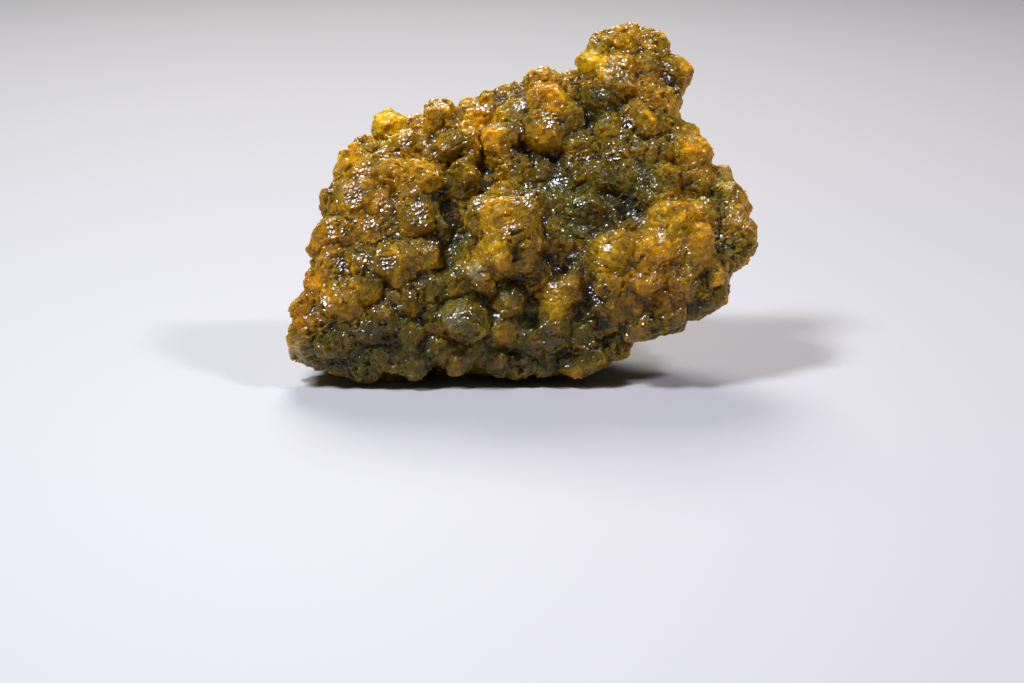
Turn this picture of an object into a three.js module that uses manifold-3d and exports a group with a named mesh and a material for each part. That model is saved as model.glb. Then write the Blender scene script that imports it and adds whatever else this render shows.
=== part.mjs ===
// Stellerite: one intergrown crust of honey-amber crystal globules, a small-cabinet mineral specimen.
// Millimetres, +Z up, the showy face towards -Y. The origin is the middle of the bounding box's underside.
//
// The piece is described in the frame of its leaning face: x to the right, `up` along the face and `depth`
// straight into it. The whole is then leaned back, cut flat where it rests, and centred.
import * as THREE from "three";
import { mergeVertices } from "three/addons/utils/BufferGeometryUtils.js";
import Module from "manifold-3d";

const wasm = await Module();
wasm.setup();

// Driving dimensions
const LEAN = THREE.MathUtils.degToRad(12); // how far the face leans back from upright
const HEART = [0, 23]; // x and up of the point that every outline ray starts from
const BACK_DEPTH = 23; // how deep the back lies at the foot of the face
const MIDDLE_DEPTH = 8; // depth of the middle of the body, which the lumps of the back face away from
const BACK_SLOPE = -0.22; // how much nearer the back comes for each millimetre up
const CROSS_WAVE = { height: 1.3, across: 7.5, start: 0.6 }; // slow wave of the back; it turns a radian in `across` mm
const SLANT_WAVE = { height: 1.1, across: 19, along: 6.2 }; // a second one, which turns going up as well
const FACE_DOME = [5, 0.6]; // the two powers of the dome by which the face turns over to the rim
const BACK_DOME = [3.4, 0.55]; // the same for the back
const SEED = 7; // start of the repeatable random row
const AROUND = 36; // body facets around the outline
const FACE_RINGS = 4; // body facets from the heart to the rim, under the globules of the face
const BACK_RINGS = 6; // the same over the sides and the back
const FILL_TRIES = 2600; // places tried for a small globule between those listed
const FILL_RADII = [1.6, 2.4]; // mm, from the smallest to the largest of these
const CLEARANCE = 1.0; // least distance of a small globule from the next, against the sum of their listed radii
const BACK_TRIES = 1500; // places tried for a broad lump of the sides and the back
const BACK_RADII = [4.2, 6.4]; // mm, from the smallest to the largest of these
const BACK_CLEARANCE = 0.72; // least distance of such a lump from the next, against the sum of their radii
const BACK_SUNK = 0.72; // how far its centre lies in the body, as a share of its radius
const BODY_SINK = 1.0; // mm that the body's face lies under the level that the globules stand on
const SPREAD = 1.25; // a globule's ball against its listed radius, so that neighbours run into each other
const BALL_REACH = 1.1; // how far a ball's corners stand out of its round radius, as a ratio
const SUNK = 0.7; // how far the ball's centre lies under the face, as a share of the listed radius
const RIM_PULL = 0.42; // how far a ball at the rim is drawn in, as a share of the listed radius
const RIM_START = 0.8; // where that pull begins, as a share of the way from the heart to the rim
const SHORTEST = 0.92; // least stretch of a ball along any of its axes
const STRETCH = 0.2; // how much longer than that an axis may be
const BIG = 3.0; // mm: a globule of this listed radius or more is a ball of twelve five-sided faces, not twenty triangles

// The body's rim: x, up and depth, clockwise from the low left corner, about 1.2 mm inside the outer lumps.
const RIM = [
  [-32.0, 3.0, -3.0], [-33.4, 6.5, -3.2], [-33.0, 10.5, -4.2], [-30.8, 14.5, -4.6],
  [-30.0, 19.5, -3.2], [-28.8, 24.0, -1.2], [-28.0, 28.0, 1.5], [-27.5, 31.8, 4.5],
  [-24.8, 33.3, 6.7], [-20.0, 36.2, 8.5], [-15.0, 39.4, 7.5], [-9.0, 40.2, 6.5],
  [-4.0, 42.0, 5.5], [1.0, 44.2, 5.0], [7.0, 45.2, 5.0], [11.5, 48.2, 6.0],
  [13.6, 51.6, 7.0], [16.5, 52.4, 7.5], [19.4, 51.2, 7.0], [21.6, 47.8, 6.5],
  [22.0, 44.0, 5.0], [21.6, 40.0, 4.0], [24.3, 36.0, 4.0], [27.4, 33.2, 4.0],
  [28.8, 29.8, 3.8], [32.2, 26.2, 3.2], [33.2, 22.4, 1.0], [31.2, 18.4, -1.5],
  [28.2, 14.8, -3.4], [25.6, 11.0, -4.0], [20.8, 8.8, -4.0], [16.0, 6.8, -3.2],
  [11.0, 3.8, -2.6], [5.5, 2.2, -3.4], [0.0, 1.6, -4.4], [-8.0, 2.8, -4.5],
  [-15.0, 3.0, -4.5], [-20.5, 1.8, -4.4], [-27.0, 2.0, -3.8],
];

// Depth of the face at each height, before its swellings and hollows.
const FACE_DEPTHS = [
  [-4, -3.0], [4, -5.6], [10, -6.9], [17, -6.2], [23, -3.2], [30, -1.6],
  [36, 0.6], [43, 2.2], [48, 5.0], [56, 8.0],
];

// Swellings (negative rise, towards the viewer) and hollows (positive) of the face: x, up, spread, rise.
const SWELLINGS = [
  [18.5, 17.0, 7.5, -3.8], // the bright right-hand cushion
  [-3.0, 21.5, 4.2, -4.4], // the block that stands out in the middle
  [-10.0, 21.0, 3.0, 1.8], // the fibrous hollow beside it
  [8.5, 18.2, 3.2, 2.2], // the dark pocket between block and cushion
  [4.5, 33.2, 3.6, 1.9], // the recess under the flag-shaped cluster
  [13.5, 26.2, 2.8, 1.2], // the small recess in the grey ledge
  [17.0, 44.5, 4.5, -1.6], // the neck of the peak
  [-24.0, 30.0, 6.0, -1.6], // the left shoulder
  [-25.0, 12.0, 7.0, -1.0], // the left flank
  [24.0, 26.5, 3.0, 1.2], // the dent above the cushion
];

// Globules of the face: x, up, radius, and how far the globule's top stands out of the face beyond the usual.
const GLOBULES = {
  block: [
    [-5.0, 23.8, 3.2, 1.4], [-1.6, 22.6, 3.3, 1.9], [-4.0, 19.6, 2.7, 1.4], [-1.0, 18.9, 2.5, 0.8],
    [-3.4, 26.6, 2.3, 0.7], [0.0, 26.0, 2.4, 0.8],
  ],
  cushion: [
    [19.4, 20.2, 3.3, 0.8], [22.6, 21.4, 2.9, 0.3], [14.9, 18.8, 2.4, 0.7], [11.8, 19.6, 2.0, 0.4],
    [16.0, 22.2, 2.1, 0.2], [25.0, 18.9, 2.5, 0.2], [20.5, 24.7, 2.6, 0.1], [26.0, 24.0, 2.5],
    [12.8, 14.7, 2.4, 0.3], [17.8, 15.9, 2.6, 0.4], [22.2, 15.4, 2.6], [20.6, 11.8, 2.5],
    [15.6, 11.6, 2.5], [17.4, 8.8, 2.1], [24.8, 12.0, 2.2],
  ],
  rightLobe: [
    [31.2, 21.2, 3.8, 0.6], [32.5, 25.6, 2.3], [29.0, 16.8, 2.3], [27.6, 12.6, 1.9], [28.4, 24.8, 2.3],
  ],
  lowRight: [[8.0, 3.1, 2.0], [10.9, 4.2, 2.4, 0.3], [14.0, 5.4, 2.2, 0.2], [21.6, 8.8, 1.9]],
  lowFront: [
    [-1.0, 1.9, 1.9], [3.0, 2.2, 2.1], [-4.6, 2.8, 2.0], [-7.6, 5.6, 2.2], [-10.2, 3.2, 2.1],
    [-13.4, 4.9, 2.6], [-17.0, 3.0, 2.4, 0.4], [-25.0, 3.0, 2.5], [-28.6, 2.6, 1.9], [-31.4, 3.6, 2.1],
    [-20.8, 4.4, 2.5], [-17.4, 7.4, 2.1], [-9.0, 10.0, 3.2, 0.3], [-3.6, 8.4, 2.5], [1.0, 6.8, 2.4],
    [4.8, 9.2, 2.4], [5.0, 13.4, 2.4, 0.3], [-2.4, 13.0, 2.4], [-12.8, 9.4, 2.3], [8.6, 8.0, 2.0],
    [1.4, 16.6, 2.0],
  ],
  leftFlank: [
    [-33.0, 5.4, 2.6], [-32.8, 9.8, 2.5], [-31.0, 13.8, 2.3], [-29.2, 6.6, 3.1, 0.3], [-27.2, 12.4, 3.1, 0.2],
    [-24.8, 8.4, 2.4], [-23.0, 14.2, 2.7], [-21.0, 9.4, 2.4], [-19.2, 17.4, 3.2, 0.5], [-24.6, 18.1, 2.1],
    [-15.0, 18.2, 2.5], [-18.0, 12.9, 2.4], [-14.0, 13.6, 2.4], [-28.6, 20.2, 3.3, 0.4], [-24.4, 22.2, 2.4],
    [-9.8, 14.8, 2.4], [-29.4, 16.6, 2.0],
  ],
  leftShoulder: [
    [-27.0, 26.3, 3.4, 0.5], [-22.4, 26.5, 2.7], [-16.5, 24.6, 3.1, 0.7], [-13.4, 21.2, 2.0],
    [-20.0, 22.2, 2.2], [-24.6, 31.2, 3.6, 0.4], [-27.5, 31.5, 2.1], [-19.8, 30.4, 2.7],
    [-15.4, 29.4, 3.1, 0.3], [-13.4, 33.6, 2.5], [-18.0, 34.8, 2.5],
  ],
  topLeft: [
    [-21.1, 38.2, 2.4, 0.3], [-25.8, 33.9, 2.0], [-16.4, 38.6, 2.1], [-12.6, 38.8, 2.5], [-8.6, 40.2, 2.1],
    [-9.6, 35.2, 2.1], [-5.4, 41.8, 2.1],
  ],
  flag: [
    [-1.6, 39.4, 2.5, 0.9], [2.0, 38.8, 2.6, 1.2], [5.4, 40.0, 2.4, 0.8], [-2.0, 43.0, 2.4, 0.2],
    [3.0, 44.6, 2.6, 0.2], [7.0, 44.6, 2.0],
  ],
  middleBand: [
    [-3.0, 31.0, 2.3], [2.6, 30.6, 2.0, 0.3], [6.8, 30.6, 2.0, 0.4], [10.9, 30.8, 2.1, 0.4],
    [4.6, 26.6, 2.3], [8.8, 25.4, 2.4], [17.6, 26.8, 2.2], [9.0, 34.0, 2.0, 0.2], [13.4, 34.2, 2.4, 0.4],
    [18.0, 33.8, 2.7, 0.2], [15.4, 30.4, 2.0], [20.2, 29.2, 2.7, 0.2],
  ],
  rightShoulder: [
    [25.2, 33.8, 3.1, 0.3], [25.4, 29.8, 2.2], [23.6, 37.0, 2.0], [29.0, 29.4, 2.2], [30.8, 27.2, 1.8],
  ],
  peak: [
    [16.0, 51.4, 2.7, 0.3], [13.2, 50.8, 1.9], [20.1, 50.8, 2.2], [13.5, 46.6, 2.4, 0.6],
    [18.2, 47.0, 2.3, 0.3], [10.6, 47.8, 2.0], [22.5, 46.8, 1.9], [12.0, 42.8, 2.8, 0.2],
    [18.6, 42.8, 2.5, 0.4], [22.2, 42.4, 2.0], [12.8, 37.8, 2.3], [17.2, 38.4, 2.4, 0.3], [21.4, 38.6, 2.2],
  ],
};

// Flat-faced crystals that stand clear of the globules: x, up, half width, half length, turn in degrees.
const CRYSTALS = [
  [-4.6, 35.4, 1.9, 2.8, 4], [-8.0, 37.4, 1.3, 2.7, -12], [-6.4, 41.0, 1.2, 2.2, 10], [-11.0, 30.2, 1.0, 2.6, 38],
  [-8.8, 33.8, 0.9, 2.4, 12], [-34.0, 7.6, 1.0, 1.9, 20], [26.4, 14.0, 1.3, 1.4, 8], [27.4, 12.0, 1.0, 1.6, 64],
  [-7.2, 17.6, 0.7, 1.8, -8], [9.8, 2.9, 1.4, 3.4, 66], [-12.6, 24.0, 0.9, 2.4, -36], [20.6, 37.4, 1.0, 2.0, 30],
];

// Lumps under the body that reach the ground: x, world depth, radius. The ground cuts them flat.
const FEET = [
  [-19, 8.5, 5.0], [-11.5, 8.0, 5.0], [-4, 8.5, 5.0], [3.5, 9.5, 5.0], [-15, 16, 5.4], [-6.5, 16, 5.4], [2, 17, 5.4],
];
const FOOT_HEIGHT = 0.5; // height of a foot's middle over the ground, as a share of its radius
const CRYSTAL_TAPER = 0.8; // width of a crystal's free end against its foot
const CRYSTAL_LIFT = 0.25; // how far a crystal's middle stands out of the face, as a share of its half width
const GROUND = [200, 200, 40]; // mm, the block that is cut away below the piece; it only has to be larger
const MERGE = 1e-4; // mm within which corners count as one

// A repeatable row of numbers from 0 to 1 (a linear congruential generator).
function randomRow(seed) {
  let state = seed;
  return () => {
    state = (state * 1664525 + 1013904223) % 4294967296;
    return state / 4294967296;
  };
}
const random = randomRow(SEED);

// Value at `at` of a smooth run through [position, value] pairs.
function along(pairs, at) {
  const next = Math.max(1, pairs.findIndex(([position]) => position > at));
  const [from, low] = pairs[next - 1];
  const [to, high] = pairs[next];
  return THREE.MathUtils.lerp(low, high, THREE.MathUtils.smoothstep(at, from, to));
}

const rim = new THREE.CatmullRomCurve3(RIM.map(([x, up, depth]) => new THREE.Vector3(x, depth, up)), true);
const rimRow = rim.getPoints(AROUND).slice(0, AROUND);

// Depth of the full face or back, as if the piece had no rim.
function faceDepth(x, up) {
  const hills = SWELLINGS.map(([cx, cup, spread, rise]) => {
    return rise * Math.exp(-((x - cx) ** 2 + (up - cup) ** 2) / (2 * spread ** 2));
  });
  return hills.reduce((sum, hill) => sum + hill, along(FACE_DEPTHS, up));
}
function backDepth(x, up) {
  const cross = CROSS_WAVE.height * Math.sin(x / CROSS_WAVE.across + CROSS_WAVE.start);
  const slant = SLANT_WAVE.height * Math.cos(up / SLANT_WAVE.along + x / SLANT_WAVE.across);
  return BACK_DEPTH + BACK_SLOPE * up + cross + slant;
}

// A point of the body: `share` runs from 0 at the heart to 1 at the rim, where face and back meet in a dome.
function bodyPoint(rimPoint, share, side) {
  const x = THREE.MathUtils.lerp(HEART[0], rimPoint.x, share);
  const up = THREE.MathUtils.lerp(HEART[1], rimPoint.z, share);
  const full = side === "face" ? faceDepth(x, up) : backDepth(x, up);
  const [steep, round] = side === "face" ? FACE_DOME : BACK_DOME;
  const dome = (1 - share ** steep) ** round;
  return new THREE.Vector3(x, THREE.MathUtils.lerp(rimPoint.y, full, dome), up);
}

// Where a globule of the face stands: its listed place, drawn in from the rim, at the depth of the face there.
function footing(x, up, pull) {
  const angle = Math.atan2(up - HEART[1], x - HEART[0]);
  const turnFrom = (p) => 1 - Math.cos(Math.atan2(p.z - HEART[1], p.x - HEART[0]) - angle);
  const nearest = rimRow.reduce((best, p) => (turnFrom(p) < turnFrom(best) ? p : best));
  const reach = Math.hypot(nearest.x - HEART[0], nearest.z - HEART[1]);
  const share = Math.min(1, Math.hypot(x - HEART[0], up - HEART[1]) / reach);
  const inward = pull * THREE.MathUtils.smoothstep(share, RIM_START, 1);
  const { y: depth } = bodyPoint(nearest, share, "face");
  return new THREE.Vector3(x - inward * Math.cos(angle), depth, up - inward * Math.sin(angle));
}

// A face point moved in to where the body starts.
function sunk(point) {
  return point.clone().setY(point.y + BODY_SINK);
}

// The closed body: rings of points from the heart of the face over the rim to the heart of the back.
function bodyGeometry() {
  const sharesOf = (rings) => {
    return Array.from({ length: rings }, (_, ring) => Math.sin(((ring + 1) / rings) * Math.PI * 0.5));
  };
  const rings = [
    ...sharesOf(FACE_RINGS).map((share) => rimRow.map((p) => sunk(bodyPoint(p, share, "face")))),
    ...sharesOf(BACK_RINGS).slice(0, -1).reverse()
      .map((share) => rimRow.map((p) => bodyPoint(p, share, "back"))),
  ];
  const front = sunk(bodyPoint(rimRow[0], 0, "face"));
  const back = bodyPoint(rimRow[0], 0, "back");
  const points = [front, ...rings.flat(), back];
  const last = points.length - 1;
  const triangles = [];
  for (let i = 0; i < AROUND; i++) {
    const j = (i + 1) % AROUND;
    triangles.push(0, 1 + j, 1 + i);
    for (let ring = 0; ring < rings.length - 1; ring++) {
      const [a, b] = [1 + ring * AROUND, 1 + (ring + 1) * AROUND];
      triangles.push(a + i, b + j, b + i, a + i, a + j, b + j);
    }
    const end = 1 + (rings.length - 1) * AROUND;
    triangles.push(last, end + i, end + j);
  }
  const geometry = new THREE.BufferGeometry().setFromPoints(points);
  geometry.setIndex(triangles);
  return geometry;
}

// A three.js geometry as a solid that can be joined and cut.
function solid(geometry) {
  const bare = geometry.clone();
  bare.deleteAttribute("normal");
  bare.deleteAttribute("uv");
  const merged = mergeVertices(bare, MERGE);
  const mesh = new wasm.Mesh({
    numProp: 3,
    vertProperties: new Float32Array(merged.attributes.position.array),
    triVerts: new Uint32Array(merged.index.array),
  });
  return new wasm.Manifold(mesh);
}

// A solid back as a three.js geometry.
function geometryOf(made) {
  const { vertProperties, triVerts } = made.getMesh();
  const geometry = new THREE.BufferGeometry();
  geometry.setAttribute("position", new THREE.BufferAttribute(vertProperties, 3));
  geometry.setIndex(new THREE.BufferAttribute(triVerts, 1));
  return geometry;
}

// The outer skin alone: pockets of air that the globules close off between them are filled with mineral.
function outerSkin(geometry) {
  const index = geometry.index.array;
  const parent = Array.from({ length: geometry.attributes.position.count }, (_, i) => i);
  const rootOf = (i) => {
    while (parent[i] !== i) i = parent[i] = parent[parent[i]];
    return i;
  };
  for (let i = 0; i < index.length; i += 3) {
    parent[rootOf(index[i])] = rootOf(index[i + 1]);
    parent[rootOf(index[i])] = rootOf(index[i + 2]);
  }
  const lowest = parent.keys().reduce((low, i) => {
    return geometry.attributes.position.getZ(i) < geometry.attributes.position.getZ(low) ? i : low;
  });
  const skin = geometry.clone();
  skin.setIndex(Array.from(index).filter((corner) => rootOf(corner) === rootOf(lowest)));
  return skin;
}

// A ball of flat faces, drawn a little long and turned at random, so that they read as crystal ends.
function globule(at, radius, ball = new THREE.IcosahedronGeometry(BALL_REACH)) {
  const axis = () => SHORTEST + STRETCH * random();
  const stretch = new THREE.Vector3(axis(), axis(), axis());
  const turn = new THREE.Euler(random() * Math.PI, random() * Math.PI, random() * Math.PI);
  const place = new THREE.Matrix4().makeRotationFromEuler(turn).scale(stretch.multiplyScalar(radius));
  return solid(ball.applyMatrix4(place.setPosition(at)));
}

// A tabular crystal: a six-sided prism that narrows to its free end, its length along the face.
function crystal([x, up, halfWidth, halfLength, turn]) {
  const prism = new THREE.CylinderGeometry(halfWidth * CRYSTAL_TAPER, halfWidth, 2 * halfLength, 6);
  prism.rotateX(Math.PI / 2);
  prism.rotateY(THREE.MathUtils.degToRad(turn));
  const { y: depth } = footing(x, up, 0);
  prism.translate(x, depth - halfWidth * CRYSTAL_LIFT, up);
  return solid(prism);
}

// Globules of the face: those listed, then small ones that close the gaps, each clear of those before it.
function faceGlobules() {
  const lumps = Object.values(GLOBULES).flat().map(([x, up, radius, extra = 0]) => ({ x, up, radius, extra }));
  for (let i = 0; i < FILL_TRIES; i++) {
    const at = bodyPoint(rim.getPoint(random()), Math.sqrt(random()), "face");
    const lump = { x: at.x, up: at.z, radius: THREE.MathUtils.lerp(...FILL_RADII, random()), extra: 0 };
    const clear = lumps.every((other) => {
      return Math.hypot(other.x - lump.x, other.up - lump.up) > CLEARANCE * (other.radius + lump.radius);
    });
    if (clear) lumps.push(lump);
  }
  return lumps.map(({ x, up, radius, extra }) => {
    const at = footing(x, up, RIM_PULL * radius);
    const ball = radius < BIG ? undefined : new THREE.DodecahedronGeometry(BALL_REACH);
    return globule(at.setY(at.y + SUNK * radius - extra), SPREAD * radius, ball);
  });
}

// Broad lumps of the sides and the back, each clear of those before it and sunk in the body.
function backLumps() {
  const lumps = [];
  for (let i = 0; i < BACK_TRIES; i++) {
    const at = bodyPoint(rim.getPoint(random()), Math.sqrt(random()), "back");
    const radius = THREE.MathUtils.lerp(...BACK_RADII, random());
    const clear = lumps.every((other) => other.at.distanceTo(at) > BACK_CLEARANCE * (other.radius + radius));
    if (clear) lumps.push({ at, radius });
  }
  const middle = new THREE.Vector3(HEART[0], MIDDLE_DEPTH, HEART[1]);
  return lumps.map(({ at, radius }) => {
    const inward = middle.clone().sub(at).normalize();
    return globule(at.clone().addScaledVector(inward, BACK_SUNK * radius), radius);
  });
}

// Feet: lumps on the underside, placed on the ground and turned into the frame of the face.
function feet() {
  return FEET.map(([x, depth, radius]) => {
    const ground = new THREE.Vector3(x, depth, radius * FOOT_HEIGHT);
    return globule(ground.applyAxisAngle(new THREE.Vector3(1, 0, 0), LEAN), radius);
  });
}

// The whole piece: everything joined, leaned back, cut flat where it rests, and centred over the origin.
function specimenGeometry() {
  const pieces = [...faceGlobules(), ...backLumps(), ...feet(), ...CRYSTALS.map(crystal)];
  const grown = pieces.reduce((whole, piece) => whole.add(piece), solid(bodyGeometry()));
  const leaned = outerSkin(geometryOf(grown)).rotateX(-LEAN);
  const below = new THREE.BoxGeometry(...GROUND);
  below.translate(0, 0, -GROUND[2] / 2);
  const geometry = geometryOf(solid(leaned).subtract(solid(below)));
  geometry.computeBoundingBox();
  const middle = geometry.boundingBox.getCenter(new THREE.Vector3());
  geometry.translate(-middle.x, -middle.y, 0);
  geometry.computeVertexNormals();
  return geometry;
}

const honey = new THREE.MeshStandardMaterial({ color: 0xb8730f, roughness: 0.3, metalness: 0, flatShading: true });
const stellerite = new THREE.Mesh(specimenGeometry(), honey);
stellerite.name = "stellerite";

const specimen = new THREE.Group();
specimen.add(stellerite);
export default specimen;
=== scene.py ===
"""A stellerite specimen in a plain studio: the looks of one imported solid.

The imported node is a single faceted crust. Its skin is rounded here, overgrown with crystal blocks, swelled
into beads, planed to small crystal faces, and finished as honey-amber stellerite. Meshes are worked out in
millimetres and written in metres.
"""

from __future__ import annotations

import logging
import math
from dataclasses import dataclass
from enum import Enum

import bpy
import numpy as np
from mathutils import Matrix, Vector

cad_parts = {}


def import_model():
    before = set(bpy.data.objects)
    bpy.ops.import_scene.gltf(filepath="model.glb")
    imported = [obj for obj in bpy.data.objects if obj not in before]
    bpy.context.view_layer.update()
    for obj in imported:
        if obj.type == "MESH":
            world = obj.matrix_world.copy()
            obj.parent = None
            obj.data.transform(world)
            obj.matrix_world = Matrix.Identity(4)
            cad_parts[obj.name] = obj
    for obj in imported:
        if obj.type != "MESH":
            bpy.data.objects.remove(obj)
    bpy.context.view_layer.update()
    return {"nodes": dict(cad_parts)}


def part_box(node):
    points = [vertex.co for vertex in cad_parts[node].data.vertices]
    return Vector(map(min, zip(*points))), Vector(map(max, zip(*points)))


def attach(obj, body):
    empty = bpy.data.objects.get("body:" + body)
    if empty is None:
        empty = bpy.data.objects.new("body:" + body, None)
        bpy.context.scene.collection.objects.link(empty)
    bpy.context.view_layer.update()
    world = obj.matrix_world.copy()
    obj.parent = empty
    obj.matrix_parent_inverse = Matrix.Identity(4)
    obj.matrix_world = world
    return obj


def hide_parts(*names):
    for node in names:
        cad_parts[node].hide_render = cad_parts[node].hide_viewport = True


MM = 0.001
LOG = logging.getLogger("stellerite")


def linear(hex_colour: str) -> tuple[float, float, float, float]:
    """Turn an sRGB hex colour into the linear colour that a shader takes.

    Args:
        hex_colour: six hex digits, with or without a leading hash.

    Returns:
        Red, green and blue in linear light, and an alpha of one.
    """
    digits = hex_colour.lstrip("#")
    srgb = [int(digits[i : i + 2], 16) / 255 for i in (0, 2, 4)]
    light = (c / 12.92 if c <= 0.04045 else ((c + 0.055) / 1.055) ** 2.4 for c in srgb)
    return (*light, 1.0)


# ---------------------------------------------------------------- meshes


def points_of(mesh: bpy.types.Mesh) -> np.ndarray:
    """Read a mesh's vertices, in millimetres.

    Args:
        mesh: any Blender mesh.

    Returns:
        An array with one row of x, y and z for each vertex.
    """
    flat = np.empty(len(mesh.vertices) * 3, np.float32)
    mesh.vertices.foreach_get("co", flat)
    return flat.reshape(-1, 3) / MM


def set_points(mesh: bpy.types.Mesh, points: np.ndarray) -> None:
    """Write a mesh's vertices.

    Args:
        mesh: the mesh to change.
        points: one row of x, y and z for each vertex, in millimetres.
    """
    mesh.vertices.foreach_set("co", (points * MM).astype(np.float32).ravel())
    mesh.update()


def normals_of(mesh: bpy.types.Mesh) -> np.ndarray:
    """Read the outward unit normals of a mesh.

    Args:
        mesh: any Blender mesh.

    Returns:
        One row of x, y and z for each vertex.
    """
    flat = np.empty(len(mesh.vertices) * 3, np.float32)
    mesh.vertex_normals.foreach_get("vector", flat)
    return flat.reshape(-1, 3)


def triangles_of(mesh: bpy.types.Mesh) -> np.ndarray:
    """Read a mesh's triangles.

    Args:
        mesh: any Blender mesh.

    Returns:
        Three vertex numbers a row.
    """
    mesh.calc_loop_triangles()
    flat = np.empty(len(mesh.loop_triangles) * 3, np.int32)
    mesh.loop_triangles.foreach_get("vertices", flat)
    return flat.reshape(-1, 3)


def edges_of(mesh: bpy.types.Mesh) -> np.ndarray:
    """Read a mesh's edges.

    Args:
        mesh: any Blender mesh.

    Returns:
        Two vertex numbers a row.
    """
    flat = np.empty(len(mesh.edges) * 2, np.int32)
    mesh.edges.foreach_get("vertices", flat)
    return flat.reshape(-1, 2)


def new_piece(name: str, points: np.ndarray, faces: np.ndarray) -> bpy.types.Object:
    """Make an object from whole arrays.

    Args:
        name: the piece's name.
        points: one row of x, y and z for each vertex, in millimetres.
        faces: one row of vertex numbers for each face, all with the same number of corners.

    Returns:
        The new object, linked to the scene, at the origin.
    """
    mesh = bpy.data.meshes.new(name)
    corners = faces.shape[1]
    mesh.vertices.add(len(points))
    mesh.loops.add(faces.size)
    mesh.polygons.add(len(faces))
    mesh.vertices.foreach_set("co", (points * MM).astype(np.float32).ravel())
    mesh.loops.foreach_set("vertex_index", faces.astype(np.int32).ravel())
    mesh.polygons.foreach_set("loop_start", np.arange(0, faces.size, corners, dtype=np.int32))
    mesh.update(calc_edges=True)
    piece = bpy.data.objects.new(name, mesh)
    bpy.context.scene.collection.objects.link(piece)
    return piece


def finish_shape(piece: bpy.types.Object, kind: str, **settings: object) -> None:
    """Put one modifier on a piece and keep its result as the piece's own mesh.

    Args:
        piece: the object to change.
        kind: Blender's name for the modifier.
        settings: the modifier's properties.
    """
    modifier = piece.modifiers.new(kind, kind)
    for name, value in settings.items():
        setattr(modifier, name, value)
    evaluated = piece.evaluated_get(bpy.context.evaluated_depsgraph_get())
    result = bpy.data.meshes.new_from_object(evaluated)
    piece.modifiers.clear()
    old = piece.data
    piece.data = result
    bpy.data.meshes.remove(old)


def largest_shell(mesh: bpy.types.Mesh) -> np.ndarray:
    """Find the vertices of a mesh's outer shell, leaving the pockets that a remesh closes off inside.

    Every vertex takes the lowest number among its neighbours again and again, so that in the end all the
    vertices of one shell hold the same number.

    Args:
        mesh: a mesh of one or more closed shells.

    Returns:
        True for each vertex of the shell that has the most vertices.
    """
    edges = edges_of(mesh)
    label = np.arange(len(mesh.vertices))
    while True:
        lowest = label.copy()
        np.minimum.at(lowest, edges[:, 0], label[edges[:, 1]])
        np.minimum.at(lowest, edges[:, 1], label[edges[:, 0]])
        lowest = lowest[lowest]
        if np.array_equal(lowest, label):
            break
        label = lowest
    names, counts = np.unique(label, return_counts=True)
    return label == names[counts.argmax()]


def without_pockets(piece: bpy.types.Object) -> bpy.types.Object:
    """Replace a piece with one that has its outer shell alone.

    Args:
        piece: a closed mesh that may hold closed pockets; it is removed.

    Returns:
        The new piece, in triangles.
    """
    outer = largest_shell(piece.data)
    points, triangles = points_of(piece.data), triangles_of(piece.data)
    number = np.cumsum(outer) - 1
    kept = new_piece(piece.name, points[outer], number[triangles[outer[triangles[:, 0]]]])
    bpy.data.objects.remove(piece)
    return kept


def smoothed(values: np.ndarray, edges: np.ndarray, rounds: int) -> np.ndarray:
    """Average values over a mesh's neighbours, round after round.

    Each round replaces a vertex's value with the mean of its own and its neighbours' mean.

    Args:
        values: one number or one row for each vertex.
        edges: two vertex numbers a row.
        rounds: how many times to average.

    Returns:
        The smoothed values, in the same shape.
    """
    rows = values.reshape(len(values), -1).astype(float)
    count = np.bincount(edges.ravel(), minlength=len(rows)).clip(1)[:, None]
    for _ in range(rounds):
        total = np.empty_like(rows)
        for k in range(rows.shape[1]):
            column = rows[:, k]
            total[:, k] = np.bincount(edges[:, 0], column[edges[:, 1]], len(rows))
            total[:, k] += np.bincount(edges[:, 1], column[edges[:, 0]], len(rows))
        rows = 0.5 * rows + 0.5 * total / count
    return rows.reshape(values.shape)


# ---------------------------------------------------------------- growth on the skin

# Space is cut into cubes that hold one seed each. A cube picks its seed's place from a table by a hash of
# its number, so that the same spot always grows the same way. The spread is where along a cube's side its
# seed may lie.
SEED_TABLE = 1 << 15
SEED_SPREAD = (0.2, 0.8)
HASH_PRIMES = np.array([73856093, 19349663, 83492791])
CUBES_A_SIDE = 1024
ASKEW_SEED = 1

FACES_A_CRYSTAL = 6
SHORTEST_NORMAL = 1e-6

# A face that looks this way mirrors the key light towards the viewer.
MIRRORING = (-0.233, -0.722, 0.651)


def askew(points: np.ndarray, pitch: float) -> np.ndarray:
    """Turn places into a frame askew to the part's own, so that no cube lines up with it.

    Args:
        points: places in millimetres.
        pitch: the length of a step, in millimetres.

    Returns:
        The turned places, in steps.
    """
    turn = np.linalg.qr(np.random.default_rng(ASKEW_SEED).normal(size=(3, 3)))[0]
    return (points / pitch) @ turn


def seed_places(rng: np.random.Generator) -> np.ndarray:
    """Draw the table of places in a cube, each from 0 to 1 along its three sides."""
    return rng.uniform(*SEED_SPREAD, (SEED_TABLE, 3)).astype(np.float32)


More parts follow.
